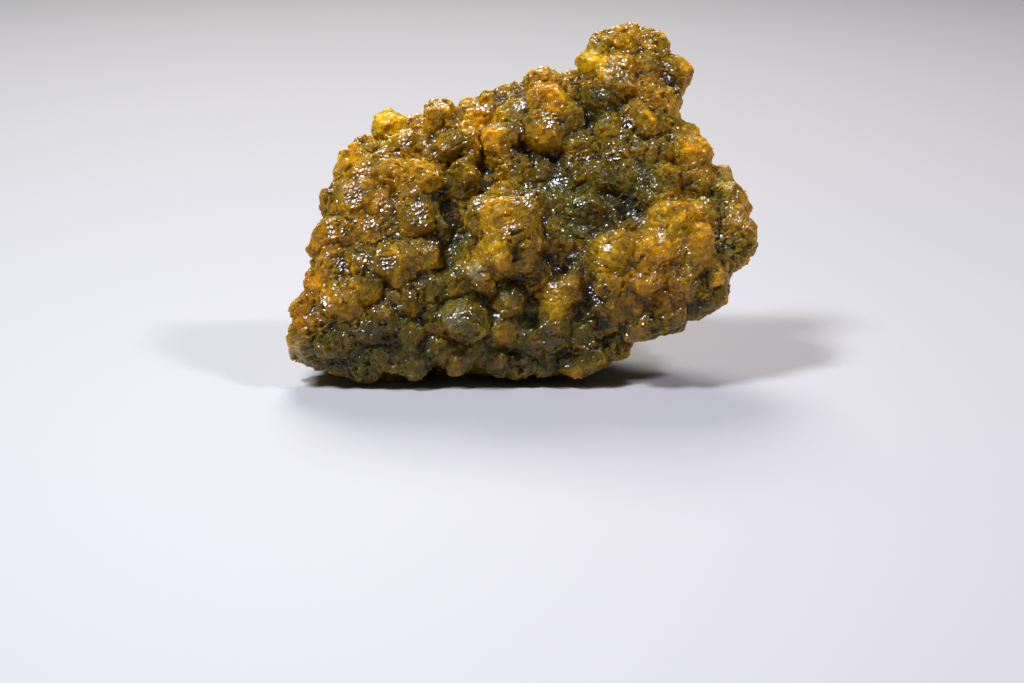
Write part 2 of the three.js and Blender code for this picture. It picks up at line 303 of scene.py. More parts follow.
def nearest_seeds(
    points: np.ndarray, pitch: float, table: np.ndarray
) -> tuple[np.ndarray, np.ndarray, np.ndarray]:
    """Find the seed nearest to each point, among those of the eight cubes around it.

    Args:
        points: places in millimetres.
        pitch: the side of a cube, in millimetres.
        table: the places in a cube that its seed may have, from seed_places.

    Returns:
        For each point the row of the table that its cube drew, a number that names the cube, and the
        squared distance to the seed as a share of the squared pitch.
    """
    scaled = askew(points, pitch).astype(np.float32)
    base = np.floor(scaled - 0.5).astype(np.int64)
    nearest = np.full(len(points), np.inf, np.float32)
    drawn = np.zeros(len(points), np.int64)
    cube = np.zeros(len(points), np.int64)
    columns = np.array([CUBES_A_SIDE**2, CUBES_A_SIDE, 1])
    for step in np.ndindex(2, 2, 2):
        cell = base + np.array(step)
        key = np.bitwise_xor.reduce(cell * HASH_PRIMES, axis=1) % len(table)
        apart = ((scaled - cell - table[key]) ** 2).sum(1)
        nearer = apart < nearest
        nearest[nearer] = apart[nearer]
        drawn[nearer] = key[nearer]
        cube[nearer] = ((cell + CUBES_A_SIDE // 2) @ columns)[nearer]
    return drawn, cube, nearest


def ball_points(tilts: np.ndarray, turns: np.ndarray) -> np.ndarray:
    """Work out unit vectors in rings between two poles.

    A point is the sine of its tilt times the cosine and the sine of its turn, and the cosine of its tilt.

    Args:
        tilts: one angle for each ring, from the upper pole.
        turns: one angle for each point of a ring.

    Returns:
        The points: a pole, the rings one after another, and the other pole.
    """
    tilt, turn = np.meshgrid(tilts, turns, indexing="ij")
    rings = np.stack([np.sin(tilt) * np.cos(turn), np.sin(tilt) * np.sin(turn), np.cos(tilt)], -1)
    return np.concatenate([[[0, 0, 1]], rings.reshape(-1, 3), [[0, 0, -1]]])


def ball_faces(around: int, rings: int) -> np.ndarray:
    """Number the triangles of a closed shape whose points are those of ball_points.

    Args:
        around: points in a ring.
        rings: rings between the poles.

    Returns:
        Three point numbers a row, turning so that the faces look outwards.
    """
    here = np.arange(around)
    after = (here + 1) % around
    first, last = 0, rings * around + 1
    cap = np.stack([np.full(around, first), 1 + here, 1 + after], -1)
    base = 1 + (rings - 1) * around
    foot = np.stack([np.full(around, last), base + after, base + here], -1)
    upper = (1 + np.arange(rings - 1) * around)[:, None]
    a, b = upper + here, upper + after
    c, d = a + around, b + around
    halves = [np.stack(corners, -1).reshape(-1, 3) for corners in ([a, c, d], [a, d, b])]
    return np.concatenate([cap, *halves, foot])


@dataclass(frozen=True)
class Blocks:
    """Blocky crystals that grow out of the skin, each a closed surface of two angles.

    Half widths are drawn between the two of half_mm, the small ones more often. A block is stretched along
    its three axes by factors between least_stretch and most_stretch, and each of its points is moved in or
    out by about the share `uneven`. `sunk` is how deep its middle lies, as a share of its half width.
    """

    pitch_mm: float = 3.6
    half_mm: tuple[float, float] = (1.2, 2.4)
    sunk: float = 0.9
    seed: int = 3
    tries_a_cube: int = 6
    favour_small: float = 1.6
    least_stretch: tuple[float, float, float] = (0.7, 0.8, 0.9)
    most_stretch: tuple[float, float, float] = (0.95, 1.1, 1.35)
    uneven: float = 0.05
    turns_deg: tuple[float, ...] = (32, 58, 122, 148, 212, 238, 302, 328)
    tilts_deg: tuple[float, ...] = (38, 54, 126, 142)

    def anchors(self, points: np.ndarray, triangles: np.ndarray) -> tuple[np.ndarray, np.ndarray]:
        """Choose places on a surface, about one for each cube of the pitch that it runs through.

        Places are drawn all over it, each triangle by its area, and one is kept in each cube.

        Args:
            points: the surface's vertices, in millimetres.
            triangles: its triangles.

        Returns:
            The places, and the outward normals there.
        """
        rng = np.random.default_rng(self.seed)
        a, b, c = (points[triangles[:, k]] for k in range(3))
        cross = np.cross(b - a, c - a)
        area = np.linalg.norm(cross, axis=1) / 2
        count = int(self.tries_a_cube * area.sum() / self.pitch_mm**2)
        chosen = rng.choice(len(triangles), count, p=area / area.sum())
        u, v = rng.random((2, count, 1))
        over = (u + v) > 1
        u, v = np.where(over, 1 - u, u), np.where(over, 1 - v, v)
        places = a[chosen] + u * (b - a)[chosen] + v * (c - a)[chosen]
        cubes = np.floor(askew(places, self.pitch_mm)).astype(int)
        _, first = np.unique(cubes, axis=0, return_index=True)
        return places[first], cross[chosen[first]] / (2 * area[chosen[first], None])

    def build(self, points: np.ndarray, triangles: np.ndarray) -> tuple[np.ndarray, np.ndarray]:
        """Make all the blocks.

        A block's point is the unit vector at a turn and a tilt, divided by its largest part, which lays it
        on a cube. Eight turns and four tilts away from the corners bevel the cube, and each block is then
        stretched, turned at random and set at its place.

        Args:
            points: the surface's vertices, in millimetres.
            triangles: its triangles.

        Returns:
            The blocks' points, and their triangles.
        """
        rng = np.random.default_rng(self.seed + 1)
        places, normals = self.anchors(points, triangles)
        count = len(places)
        unit = ball_points(np.radians(self.tilts_deg), np.radians(self.turns_deg))
        unit /= np.abs(unit).max(1, keepdims=True)
        axes = np.linalg.qr(rng.normal(size=(count, 3, 3)))[0]
        least, most = self.half_mm
        half = least + (most - least) * rng.random((count, 1, 1)) ** self.favour_small
        stretch = rng.uniform(self.least_stretch, self.most_stretch, size=(count, 3))[:, None]
        uneven = 1 + self.uneven * rng.standard_normal((count, len(unit), 1))
        blocks = (unit[None] * stretch * uneven * half) @ axes
        centres = places - normals * half[:, :, 0] * self.sunk
        blocks += centres[:, None]
        faces = ball_faces(len(self.turns_deg), len(self.tilts_deg))
        mirrored = np.linalg.det(axes) < 0
        faces = np.where(mirrored[:, None, None], faces[None, :, ::-1], faces[None])
        starts = np.arange(count)[:, None, None] * len(unit)
        return blocks.reshape(-1, 3), (faces + starts).reshape(-1, 3)


@dataclass(frozen=True)
class Beads:
    """Small rounded swellings all over the skin, one around each seed.

    A bead rises by rise_mm times a size drawn between least_size and one. It ends where the squared
    distance to its seed is the share `ends_at` of the squared pitch. In the middle of a glint it is lower
    by the share `lower_in_glints`.
    """

    pitch_mm: float
    rise_mm: float
    seed: int
    least_size: float = 0.4
    ends_at: float = 0.45
    lower_in_glints: float = 0.5

    def swell(self, points: np.ndarray, normals: np.ndarray, pull: np.ndarray) -> np.ndarray:
        """Move points outward along the profile of a cap: the root of one less the squared distance.

        Args:
            points: places in millimetres.
            normals: the outward normals there.
            pull: how strongly each point is drawn to mirror the key light, from 0 to 1.

        Returns:
            The moved points.
        """
        rng = np.random.default_rng(self.seed)
        table = seed_places(rng)
        size = rng.uniform(self.least_size, 1.0, SEED_TABLE)
        drawn, _, apart = nearest_seeds(points, self.pitch_mm, table)
        cap = np.sqrt(np.clip(1 - apart / self.ends_at, 0, 1))
        rise = self.rise_mm * size[drawn] * cap
        return points + normals * (rise * (1 - self.lower_in_glints * pull))[:, None]


@dataclass(frozen=True)
class CrystalFaces:
    """Flat crystal faces: the skin is cut into cells, and each cell's part of it is planed to one face.

    A face leans towards its crystal's axis by the share `lean`, and no point moves farther than reach_mm. A
    face mirrors the key light where the pull on it is above least_pull plus a random share of loose_pull.
    """

    pitch_mm: float
    seed: int
    lean: float = 0.0
    reach_mm: float = 0.0
    least_pull: float = 1.0
    loose_pull: float = 0.0

    def cells(self, points: np.ndarray, normals: np.ndarray) -> tuple[np.ndarray, np.ndarray]:
        """Tell which face each point belongs to.

        Each seed is a crystal with three axes turned at random. A point belongs to the nearest crystal, and
        within that to the axis that its normal is nearest to, so that the faces of one crystal meet in
        edges and corners.

        Args:
            points: places in millimetres.
            normals: the outward normals there.

        Returns:
            For each point the number of its face, and the axis that the face turns towards.
        """
        rng = np.random.default_rng(self.seed)
        table = seed_places(rng)
        axes = np.linalg.qr(rng.normal(size=(SEED_TABLE, 3, 3)))[0].astype(np.float32)
        owner, cube, _ = nearest_seeds(points, self.pitch_mm, table)
        along = np.einsum("nij,nj->ni", axes[owner], normals.astype(np.float32))
        side = np.abs(along).argmax(1)
        sign = np.sign(along[np.arange(len(points)), side])
        toward = axes[owner, side] * sign[:, None]
        number = cube * FACES_A_CRYSTAL + side * 2 + (sign > 0)
        _, face = np.unique(number, return_inverse=True)
        return face.ravel(), toward

    def chances(self, points: np.ndarray, normals: np.ndarray) -> np.ndarray:
        """Give each point a random number from 0 to 1 that its whole face shares."""
        face, _ = self.cells(points, normals)
        return np.random.default_rng(self.seed + 1).random(face.max() + 1)[face]

    def plane(self, points: np.ndarray, normals: np.ndarray, pull: np.ndarray) -> np.ndarray:
        """Move points onto their faces.

        A face passes through the middle of its points. Its normal is their mean normal, leaned towards the
        crystal's own axis, or MIRRORING if the pull on the face is above its own random threshold. Each
        point moves along that normal onto the face, but no farther than the reach.

        Args:
            points: places in millimetres.
            normals: the outward normals there.
            pull: how strongly each point is drawn to mirror the key light, from 0 to 1.

        Returns:
            The moved points.
        """
        face, toward = self.cells(points, normals)
        count = np.bincount(face).clip(1)
        chance = np.random.default_rng(self.seed + 1).random(len(count))
        mirrors = np.bincount(face, pull) / count > self.least_pull + self.loose_pull * chance
        leaned = np.where(mirrors[face, None], MIRRORING, normals + self.lean * toward)
        middle, outward = (
            np.stack([np.bincount(face, rows[:, k]) for k in range(3)], -1) / count[:, None]
            for rows in (points, leaned)
        )
        outward /= np.linalg.norm(outward, axis=1, keepdims=True).clip(SHORTEST_NORMAL)
        off = ((middle[face] - points) * outward[face]).sum(1)
        return points + outward[face] * np.clip(off, -self.reach_mm, self.reach_mm)[:, None]


# ---------------------------------------------------------------- finishes


class Slot(Enum):
    """A material slot's name, which this script does not use."""

    HONEY = "honey_stellerite"


class Shade(Enum):
    """What a patch of the face is tinted with, named as the attribute that carries it."""

    OLIVE = "olive"
    ORANGE = "orange"
    # Partly the mineral's own gold, partly a painted glow of thin edges.
    GOLD_AND_EDGE_GLOW = "gold_and_edge_glow"
    # Partly the hollows' own dark grey-olive, partly painted shade in them.
    DARK = "dark_grey_and_shade"
    # Partly pale cleavage and grey of the mineral, partly painted highlights.
    PALE_AND_HIGHLIGHT = "pale_and_highlight"
    # Partly the mineral's own yellow, partly a painted glow of thin edges.
    YELLOW_AND_EDGE_GLOW = "yellow_and_edge_glow"


def add_node(
    tree: bpy.types.NodeTree, kind: str, links: dict | None = None, **settings: object
) -> bpy.types.Node:
    """Add a shader node with its settings, values and links.

    Args:
        tree: the node tree.
        kind: the node's type name.
        links: for each input's name or number, a value, or the output socket to link to it.
        settings: the node's own properties.

    Returns:
        The new node.
    """
    node = tree.nodes.new(kind)
    for name, value in settings.items():
        setattr(node, name, value)
    for key, value in (links or {}).items():
        if isinstance(value, bpy.types.NodeSocket):
            tree.links.new(value, node.inputs[key])
        else:
            node.inputs[key].default_value = value
    return node


# By socket number, a Mix node takes its two colours as 6 and 7 and gives its colour as 2. Map Range takes
# the least and the most of what comes in, and then of what goes out, as 1 to 4.
MIX_FIRST, MIX_SECOND, MIX_RESULT = 6, 7, 2


@dataclass(frozen=True)
class HoneyStellerite:
    """Stellerite coloured honey-amber by iron, as it grew: waxy and translucent under tiny crystals.

    The eye sees amber with painted shade in its creases, a painted glow where light would leave a lump's
    lower flank, painted shade on what looks up, olive patches, patches whose own colour also carries painted
    shade, glow or highlight, and clusters of white glints where a crystal face and the flakes on it mirror a
    light.
    """

    # By relief: a crease, whose darker colour is painted shade, a lump's flank and its crest, and the relief
    # at which each has its own colour.
    crease_painted_shade: str = "#241B07"
    flank: str = "#7E6303"
    crest: str = "#7A6205"
    relief_stops: tuple[float, float, float] = (0.18, 0.48, 0.8)

    # Over that, painted shade on what looks up, a painted glow on what looks down, and the patches of the
    # face. A patch starts to show at the first share of cloudy cover, and is full at the second.
    painted_top_shade: str = "#4C3D06"
    painted_glow: str = "#EFAC03"
    olive: str = "#524B0B"
    orange: str = "#BE7D03"
    # Gold of the mineral, also used as a painted glow of thin edges.
    gold_and_edge_glow: str = "#D09403"
    # Dark grey-olive of the hollows, darkened further as painted shade.
    dark_grey_and_shade: str = "#2B2714"
    # Pale grey of cleavage, also used as a painted highlight.
    pale_and_highlight: str = "#9E936A"
    # Yellow of the mineral, also used as a painted glow of thin rims.
    yellow_and_edge_glow: str = "#D8B000"
    patch_cover: tuple[float, float] = (0.04, 0.55)
    patch_full: float = 0.9

    # How much darker or lighter each thing makes the colour: its least and most, then the factors there.
    cloud_tone: tuple[float, ...] = (0.3, 0.7, 0.8, 1.15)
    lump_tone: tuple[float, ...] = (0.15, 0.85, 0.6, 1.3)
    face_tone: tuple[float, ...] = (0.0, 1.0, 0.86, 1.14)
    grain_tone: tuple[float, ...] = (0.0, 1.0, 0.9, 1.1)

    # Iron clouds are about as wide as a small globule.
    cloud_mm: float = 1.4
    cloud_detail: float = 3.0

    # The druse's crystal ends are about 0.1 mm wide and its flakes finer. Both are drawn coarser, as wide
    # as they need to be to show. A grain's roughness is drawn between two values. A flake's lean, and the
    # share of flakes that shine, go from the first value to the second with the pull of a glint's place.
    grain_mm: float = 0.27
    grain_lean: float = 0.34
    grain_roughness: tuple[float, float] = (0.12, 0.6)
    flake_mm: float = 0.17
    flake_lean: tuple[float, float] = (0.42, 0.18)
    flake_share: tuple[float, float] = (0.46, 0.95)
    flake_roughness: float = 0.15

    # Zeolites refract at about 1.5. Red light goes deepest into the amber, and blue hardly at all.
    refraction: float = 1.5
    specular: float = 0.12
    scatter_m: float = 0.0014
    scatter_colour: tuple[float, float, float] = (1.0, 0.65, 0.12)
    see_through: float = 0.1
    passes: str = "#E0A030"
    absorbs_per_m: float = 260.0

    def leaning(
        self,
        tree: bpy.types.NodeTree,
        cells: bpy.types.NodeSocket,
        lean: float | bpy.types.NodeSocket,
    ) -> bpy.types.NodeSocket:
        """Lean the surface normal at random from cell to cell.

        A cell's random colour less one half is an arrow, which is scaled and added to the normal.

        Args:
            tree: the material's node tree.
            cells: a random colour for each cell.
            lean: how far the normal leans, as a share of its own length.

        Returns:
            The leaning normal.
        """
        vector = "ShaderNodeVectorMath"
        arrow = add_node(tree, vector, {0: cells, 1: (0.5, 0.5, 0.5)}, operation="SUBTRACT")
        scaled = add_node(tree, vector, {0: arrow.outputs[0], "Scale": lean}, operation="SCALE")
        normal = add_node(tree, "ShaderNodeNewGeometry").outputs["Normal"]
        leaned = add_node(tree, vector, {0: normal, 1: scaled.outputs[0]}, operation="ADD")
        return add_node(tree, vector, {0: leaned.outputs[0]}, operation="NORMALIZE").outputs[0]

    def colour(
        self, tree: bpy.types.NodeTree, place: bpy.types.NodeSocket, grains: bpy.types.NodeSocket
    ) -> bpy.types.NodeSocket:
        """Mix the amber from what the mesh carries: relief, painted top shade, painted glow, patches and
        shades.

        Args:
            tree: the material's node tree.
            place: Object coordinates.
            grains: a random colour for each grain.

        Returns:
            The colour.
        """
        cloudy = {"Vector": place, "Scale": 1 / (self.cloud_mm * MM), "Detail": self.cloud_detail}
        clouds = add_node(tree, "ShaderNodeTexNoise", cloudy).outputs["Fac"]
        # Painted shade: the lower the relief, the nearer the colour comes to the dark of a crease.
        relief = add_node(tree, "ShaderNodeAttribute", attribute_name="relief").outputs["Fac"]
        ramp = add_node(tree, "ShaderNodeValToRGB", {"Fac": relief})
        low, middle, high = self.relief_stops
        stops = ramp.color_ramp.elements
        stops[0].position, stops[0].color = low, linear(self.crease_painted_shade)
        stops[1].position, stops[1].color = high, linear(self.crest)
        stops.new(middle).color = linear(self.flank)
        colour = ramp.outputs["Color"]
        cover = dict(enumerate((*self.patch_cover, 0.0, self.patch_full), 1))
        # Painted shade on what looks up and painted glow on what looks down come first, then the patches.
        for name in ("painted_top_shade", "painted_glow", *(shade.value for shade in Shade)):
            patch = add_node(tree, "ShaderNodeAttribute", attribute_name=name).outputs["Fac"]
            share = add_node(tree, "ShaderNodeMath", {0: patch, 1: clouds}, operation="MULTIPLY")
            share = add_node(tree, "ShaderNodeMapRange", {0: share.outputs[0], **cover})
            tint = linear(getattr(self, name))
            mix = {"Factor": share.outputs[0], MIX_FIRST: colour, MIX_SECOND: tint}
            mixed = add_node(tree, "ShaderNodeMix", mix, data_type="RGBA")
            colour = mixed.outputs[MIX_RESULT]
        lumps = add_node(tree, "ShaderNodeAttribute", attribute_name="tone").outputs["Fac"]
        faces = add_node(tree, "ShaderNodeAttribute", attribute_name="grain").outputs["Fac"]
        chance = add_node(tree, "ShaderNodeSeparateColor", {"Color": grains}).outputs["Blue"]
        tone = 1.0
        for value, limits in (
            (clouds, self.cloud_tone),
            (lumps, self.lump_tone),
            (faces, self.face_tone),
            (chance, self.grain_tone),
        ):
            ends = dict(enumerate(limits, 1))
            factor = add_node(tree, "ShaderNodeMapRange", {0: value, **ends}).outputs[0]
            both = {0: tone, 1: factor}
            tone = add_node(tree, "ShaderNodeMath", both, operation="MULTIPLY").outputs[0]
        mix = {"Factor": 1.0, MIX_FIRST: colour, MIX_SECOND: tone}
        shaded = add_node(tree, "ShaderNodeMix", mix, data_type="RGBA", blend_type="MULTIPLY")
        return shaded.outputs[MIX_RESULT]

    def material(self) -> bpy.types.Material:
        """Make the finish.

        The base is waxy and lets light scatter inside. Over it lies a coat that only some flakes have, each
        with its own lean.

        Returns:
            The material, which reads Object coordinates and the attributes of Paint.
        """
        material = bpy.data.materials.new("honey_stellerite_as_grown")
        material.use_nodes = True
        tree = material.node_tree
        tree.nodes.clear()
        place = add_node(tree, "ShaderNodeTexCoord").outputs["Object"]
        grains, flakes = (
            add_node(tree, "ShaderNodeTexVoronoi", {"Vector": place, "Scale": scale}).outputs["Color"]
            for scale in (1 / (self.grain_mm * MM), 1 / (self.flake_mm * MM))
        )
        gloss = add_node(tree, "ShaderNodeSeparateColor", {"Color": grains}).outputs["Green"]
        chance = add_node(tree, "ShaderNodeSeparateColor", {"Color": flakes}).outputs["Green"]
        glint = add_node(tree, "ShaderNodeAttribute", attribute_name="glint").outputs["Fac"]
        share, lean, rough = (
            add_node(tree, "ShaderNodeMapRange", {0: value, 3: first, 4: second}).outputs[0]
            for value, (first, second) in (
                (glint, self.flake_share),
                (glint, self.flake_lean),
                (gloss, self.grain_roughness),
            )
        )
        shines = add_node(tree, "ShaderNodeMath", {0: chance, 1: share}, operation="LESS_THAN")
        shader = add_node(
            tree,
            "ShaderNodeBsdfPrincipled",
            {
                "Base Color": self.colour(tree, place, grains),
                "Roughness": rough,
                "IOR": self.refraction,
                "Specular IOR Level": self.specular,
                "Subsurface Weight": 1.0,
                "Subsurface Radius": self.scatter_colour,
                "Subsurface Scale": self.scatter_m,
                "Transmission Weight": self.see_through,
                "Coat Weight": shines.outputs[0],
                "Coat Roughness": self.flake_roughness,
                "Coat IOR": self.refraction,
                "Normal": self.leaning(tree, grains, self.grain_lean),
                "Coat Normal": self.leaning(tree, flakes, lean),
            },
        )
        depth = {"Color": linear(self.passes), "Density": self.absorbs_per_m}
        inside = add_node(tree, "ShaderNodeVolumeAbsorption", depth)
        surface = {"Surface": shader.outputs["BSDF"], "Volume": inside.outputs["Volume"]}
        add_node(tree, "ShaderNodeOutputMaterial", surface)
        return material


# ---------------------------------------------------------------- the specimen


@dataclass(frozen=True)
class Patch:
    """A soft round patch of the face, placed across it and up along it, in millimetres."""

    x: float
    up: float
    spread: float
    strength: float = 1.0


# Where the face is tinted.
PATCHES: dict[Shade, tuple[Patch, ...]] = {
    Shade.OLIVE: (
        Patch(5.0, 29.0, 5.5, 1.0),
        Patch(12.0, 28.5, 5.5, 1.0),
        Patch(9.0, 25.0, 5.0, 1.0),
        Patch(17.0, 30.0, 4.0, 0.8),
        Patch(-9.5, 20.0, 4.0, 1.0),
        Patch(-10.0, 34.5, 3.8, 0.8),
        Patch(-9.0, 29.0, 3.5, 0.5),
        Patch(11.0, 42.5, 3.6, 1.0),
        Patch(8.0, 37.0, 4.0, 0.6),
        Patch(-20.0, 7.0, 5.5, 1.0),
        Patch(-10.0, 8.5, 5.5, 1.0),
        Patch(0.0, 8.0, 5.5, 0.9),
        Patch(8.0, 6.0, 5.0, 0.8),
        Patch(-12.0, 14.0, 4.5, 0.8),
        Patch(-2.0, 13.5, 4.0, 0.7),
        Patch(9.0, 11.5, 3.5, 0.6),
        Patch(18.0, 34.0, 4.0, 0.5),
        Patch(28.0, 28.5, 3.5, 0.7),
        Patch(31.0, 21.0, 3.0, 0.6),
        Patch(-28.0, 6.0, 4.0, 0.8),
        Patch(20.0, 9.0, 4.0, 0.4),
        Patch(-25.0, 3.0, 4.5, 0.9),
        Patch(-15.0, 3.0, 5.0, 1.0),
        Patch(-6.0, 4.0, 5.0, 0.9),
        Patch(4.0, 3.0, 4.5, 0.9),
    ),
    Shade.ORANGE: (
        Patch(-31.5, 15.0, 3.0, 1.0),
        Patch(-33.0, 10.0, 2.6, 0.9),
        Patch(-30.0, 21.0, 3.0, 0.7),
        Patch(2.5, 44.0, 2.4, 0.8),
        Patch(-5.5, 36.0, 2.4, 0.8),
        Patch(21.0, 14.0, 3.5, 0.6),
        Patch(17.0, 15.0, 4.0, 0.7),
        Patch(25.0, 20.0, 3.0, 0.5),
        Patch(18.0, 44.0, 4.0, 0.5),
        Patch(-20.0, 30.0, 4.0, 0.5),
        Patch(-6.0, 40.0, 2.5, 0.6),
    ),
    # Gold lumps, and a painted glow along the thin top and side edges.
    Shade.GOLD_AND_EDGE_GLOW: (
        Patch(-20.5, 38.5, 3.2, 1.0),
        Patch(-27.5, 34.0, 4.0, 0.9),
        Patch(-15.5, 39.0, 3.5, 0.7),
        Patch(-7.0, 40.5, 3.5, 0.8),
        Patch(-16.0, 33.0, 4.0, 0.6),
        Patch(3.5, 43.5, 4.0, 0.8),
        Patch(10.0, 47.5, 3.0, 0.9),
        Patch(16.0, 52.0, 4.0, 0.6),
        Patch(27.0, 35.0, 4.5, 0.9),
        Patch(23.0, 24.0, 4.5, 0.9),
        Patch(13.0, 18.5, 3.2, 1.0),
        Patch(19.0, 20.5, 4.5, 0.9),
        Patch(-5.0, 19.0, 3.2, 0.9),
        Patch(-3.5, 24.5, 3.6, 0.8),
        Patch(-5.0, 35.5, 2.6, 0.9),
        Patch(4.5, 12.5, 3.0, 0.6),
        Patch(-26.0, 12.5, 3.5, 0.5),
        Patch(33.0, 25.0, 3.0, 0.6),
        Patch(2.8, 37.0, 2.6, 0.6),
        Patch(-11.5, 7.0, 2.5, 0.5),
        Patch(-3.0, 7.5, 2.2, 0.4),
        Patch(-12.0, 34.5, 3.0, 0.5),
        Patch(-24.0, 25.0, 4.0, 0.4),
    ),
    # Hollows and recesses: their own dark grey-olive with painted shade over it.
    Shade.DARK: (
        Patch(15.5, 26.5, 3.2, 1.0),
        Patch(-13.0, 21.5, 2.5, 0.6),
        Patch(-22.0, 5.5, 3.4, 0.5),
        Patch(-14.0, 5.0, 4.0, 0.4),
        Patch(3.5, 18.5, 2.8, 0.7),
        Patch(8.5, 19.0, 2.6, 0.5),
        Patch(0.0, 3.5, 4.0, 0.5),
        Patch(4.0, 32.5, 3.0, 0.6),
        Patch(24.0, 10.0, 3.0, 0.7),
        Patch(-15.0, 26.5, 2.0, 0.6),
        Patch(-6.0, 13.5, 3.0, 0.4),
    ),
    # A yellow ball, and a painted glow on a few thin rims.
    Shade.YELLOW_AND_EDGE_GLOW: (
        Patch(-20.5, 39.0, 2.6, 1.0),
        Patch(-29.0, 34.5, 2.2, 0.6),
        Patch(10.0, 48.5, 2.0, 0.7),
        Patch(23.5, 40.5, 2.2, 0.6),
        Patch(12.0, 19.0, 2.6, 0.8),
        Patch(21.0, 23.5, 3.0, 0.5),
        Patch(24.5, 19.0, 1.6, 0.6),
        Patch(4.5, 12.5, 2.2, 0.6),
        Patch(-4.5, 20.5, 2.0, 0.5),
        Patch(-8.5, 18.5, 2.0, 0.4),
        Patch(29.5, 30.5, 1.8, 0.6),
    ),
    # A pale cleavage sliver and grey corner, and painted highlights on a ball and a rim.
    Shade.PALE_AND_HIGHLIGHT: (
        Patch(-7.2, 17.2, 1.3, 1.0),
        Patch(-34.0, 5.0, 2.5, 0.6),
        Patch(-10.5, 10.0, 2.0, 0.5),
        Patch(30.0, 31.0, 1.6, 0.7),
    ),
}


@dataclass(frozen=True)
class Landmark:
    """A single crystal block of the face that is known by sight: its place, half sizes, turn and shape.

    The half sizes are across, up and deep. The surface is that of a box rounded by a power: two is an
    ellipsoid, and more is squarer. A taper widens it upwards, so that it points down. `proud` is how far it
    is moved out of the skin. All lengths are in millimetres.
    """

    x: float
    up: float
    half: tuple[float, float, float]
    turn_deg: float = 0.0
    power: float = 3.0
    taper: float = 0.0
    proud: float = 0.0
    around: int = 28
    tilts: int = 14

    def build(self, depth: float) -> np.ndarray:
        """Work out the block's points across, deep and up in the frame of the face.

        A point is the unit vector at a turn and a tilt, divided by the root, of the same power, of the sum
        of its parts' powers. It is then stretched to the half sizes, tapered and turned.

        Args:
            depth: how deep the block's middle lies if it isn't proud, in millimetres.

        Returns:
            The points: a pole, rings around it, and the other pole.
        """
        tilts = np.pi * (np.arange(self.tilts) + 1) / (self.tilts + 1)
        turns = 2 * np.pi * np.arange(self.around) / self.around
        unit = ball_points(tilts, turns)
        unit /= (np.abs(unit) ** self.power).sum(1, keepdims=True) ** (1 / self.power)
        wide, high, deep = self.half
        points = unit * [wide, deep, high]
        points[:, 0] *= 1 + self.taper * unit[:, 2]
        angle = math.radians(self.turn_deg)
        across = points[:, 0] * math.cos(angle) - points[:, 2] * math.sin(angle)
        upward = points[:, 0] * math.sin(angle) + points[:, 2] * math.cos(angle)
        return np.stack([self.x + across, depth - self.proud + points[:, 1], self.up + upward], -1)


# Across and up the face, half sizes across, up and deep, and turn in degrees.
LANDMARKS = (
    Landmark(-20.8, 38.2, (2.5, 1.9, 2.2), 8, power=2.3, proud=0.6),
    Landmark(-4.7, 35.4, (1.6, 2.3, 1.7), 4, power=5, proud=1.0),
    Landmark(-2.6, 37.0, (1.7, 1.3, 1.5), -22, power=4, proud=0.8),
    Landmark(-2.4, 24.0, (4.0, 3.4, 2.6), 6, power=3.2, taper=0.2, proud=0.9),
    Landmark(-3.9, 19.7, (1.8, 3.0, 1.8), 8, power=2.8, taper=0.5, proud=0.9),
    Landmark(0.0, 20.2, (1.7, 2.4, 1.7), -14, power=2.8, taper=0.4, proud=0.5),
    Landmark(21.2, 24.6, (3.4, 2.1, 2.2), 10, power=2.6, proud=0.5),
    Landmark(13.2, 20.0, (2.6, 2.5, 2.1), 0, power=2.6, proud=0.5),
    Landmark(18.6, 20.0, (2.7, 2.4, 2.1), 14, power=2.8, proud=0.6),
    Landmark(25.2, 21.0, (2.3, 2.7, 2.0), -10, power=2.8, proud=0.4),
    Landmark(-24.8, 28.0, (2.7, 2.0, 1.9), 14, power=3.2, proud=0.4),
    Landmark(-28.2, 22.6, (2.2, 1.9, 1.8), -8, power=3, proud=0.3),
    Landmark(-16.2, 24.6, (2.5, 2.3, 2.0), 12, power=3.4, proud=0.5),
    Landmark(-19.8, 18.2, (2.5, 2.0, 1.8), 6, power=3, proud=0.4),
    Landmark(-9.8, 9.8, (2.6, 2.2, 2.0), 0, power=2.8, proud=0.4),
    Landmark(13.6, 46.4, (2.4, 2.0, 1.8), 10, power=3, proud=0.4),
    Landmark(-19.6, 31.0, (2.2, 1.8, 1.7), -12, power=3.2, proud=0.4),
    Landmark(3.0, 41.8, (2.8, 2.2, 1.9), -6, power=3),
    Landmark(2.8, 36.8, (2.5, 2.0, 2.0), 12, power=2.8, proud=0.5),
)

